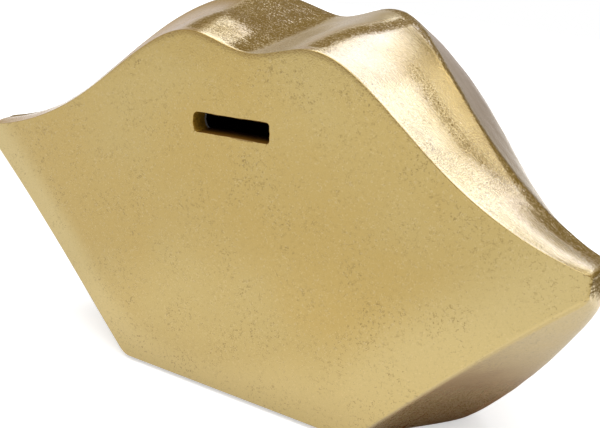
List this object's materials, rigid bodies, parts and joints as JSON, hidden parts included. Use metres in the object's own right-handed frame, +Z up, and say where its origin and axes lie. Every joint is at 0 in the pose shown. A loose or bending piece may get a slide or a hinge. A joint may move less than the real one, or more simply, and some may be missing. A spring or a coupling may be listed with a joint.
{
  "type": "piggy bank",
  "caption": "Hollow money box in the shape of closed lips, flat at the back with a coin slot, with a pull-out rubber stopper in the base.",
  "frame": {"origin": "centre of the box round the object, on the plane that it stands on", "axes": "+Z up, the lips look along -Y and the flat back faces +Y, X along the mouth"},
  "size_m": [0.289, 0.11, 0.1672],
  "materials": {
    "gilded_resin": "satin",
    "gilded_panel": "satin",
    "stopper_rubber": "matte",
    "pad_felt": "matte"
  },
  "bodies": {
    "money_box": {"lips_casting": "gilded_resin", "back_panel": "gilded_panel", "foot_pad_back_left": "pad_felt", "foot_pad_back_right": "pad_felt", "foot_pad_front_left": "pad_felt", "foot_pad_front_right": "pad_felt"},
    "stopper": {"coin_stopper": "stopper_rubber"}
  },
  "joints": [
    {"name": "stopper_pull", "type": "slide", "parent": "money_box", "child": "stopper", "axis": [0, 0, -1], "range_m": [0, 0.03]}
  ]
}
